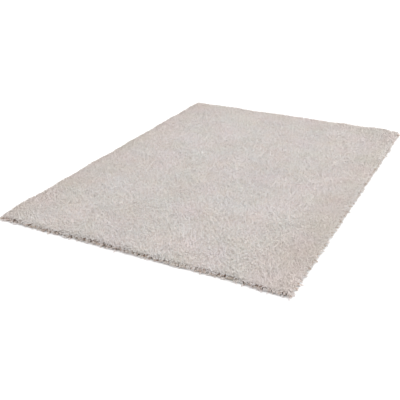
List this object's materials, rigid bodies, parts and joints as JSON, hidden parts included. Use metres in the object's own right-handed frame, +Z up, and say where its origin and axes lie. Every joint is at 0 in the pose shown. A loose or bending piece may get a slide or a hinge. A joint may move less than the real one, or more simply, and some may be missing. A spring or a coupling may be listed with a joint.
{
  "type": "shag rug",
  "caption": "Rectangular deep-pile shag rug lying flat, with a lumpy top, a rounded rim and short locks of pile that droop to the floor all round.",
  "frame": {"origin": "on the floor, under the middle of the rug's overall size", "axes": "+X along the short sides, +Y along the long sides, +Z up out of the pile"},
  "size_m": [1.2386, 1.7382, 0.0379],
  "materials": {
    "shag_pile": "matt, deep curly pile in pale warm grey"
  },
  "bodies": {
    "root": {"shag_rug": "shag_pile"}
  },
  "joints": []
}
